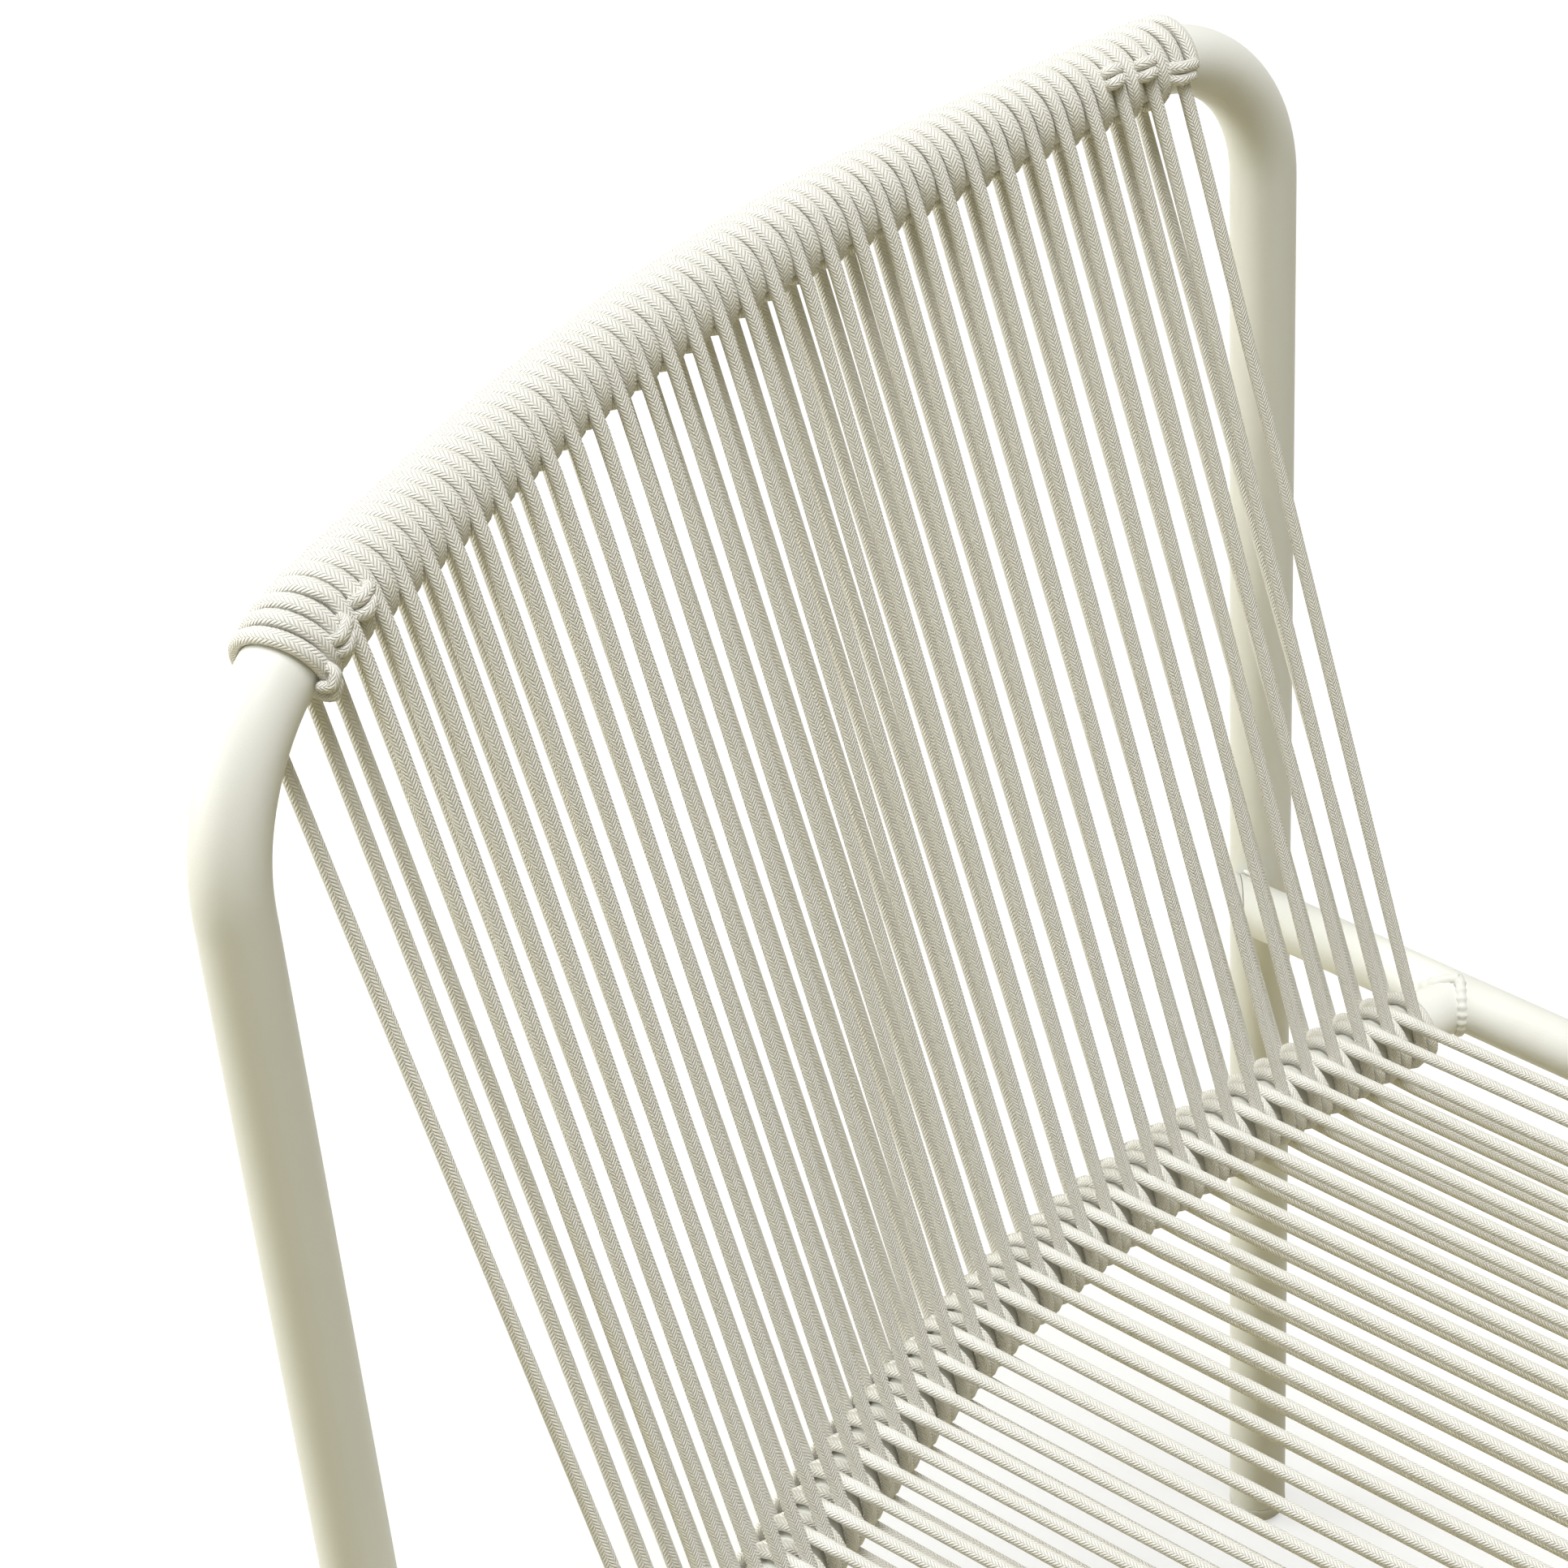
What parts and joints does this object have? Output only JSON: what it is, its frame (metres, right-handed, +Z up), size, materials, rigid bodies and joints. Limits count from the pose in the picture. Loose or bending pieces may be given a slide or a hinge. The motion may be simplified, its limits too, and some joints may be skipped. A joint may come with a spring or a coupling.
{
  "type": "cord lounge chair",
  "caption": "Low armless lounge chair: bent steel tube frame with back and seat wound from round off-white cord.",
  "frame": {"origin": "on the floor, under the middle of the chair's outline", "axes": "+Z up, the sitter faces -Y, +X is the sitter's left"},
  "size_m": [0.5826, 0.6664, 0.748],
  "materials": {
    "frame_paint": "off-white powder coat, satin, fine texture",
    "cord": "ivory braided round cord, dull",
    "glide": "off-white moulded plastic, matte"
  },
  "bodies": {
    "root": {"back_hoop": "frame_paint", "side_frame_left": "frame_paint", "side_frame_right": "frame_paint", "rear_rail": "frame_paint", "front_rail": "frame_paint", "weld_rear_left": "frame_paint", "weld_front_left": "frame_paint", "weld_post_left": "frame_paint", "weld_rear_right": "frame_paint", "weld_front_right": "frame_paint", "weld_post_right": "frame_paint", "glide_rear_left": "glide", "glide_front_left": "glide", "rail_plug_left": "glide", "glide_rear_right": "glide", "glide_front_right": "glide", "rail_plug_right": "glide", "back_cord": "cord", "seat_cord": "cord", "hitch_left_1": "cord", "hitch_left_2": "cord", "hitch_left_3": "cord", "hitch_right_1": "cord", "hitch_right_2": "cord", "hitch_right_3": "cord"}
  },
  "joints": []
}
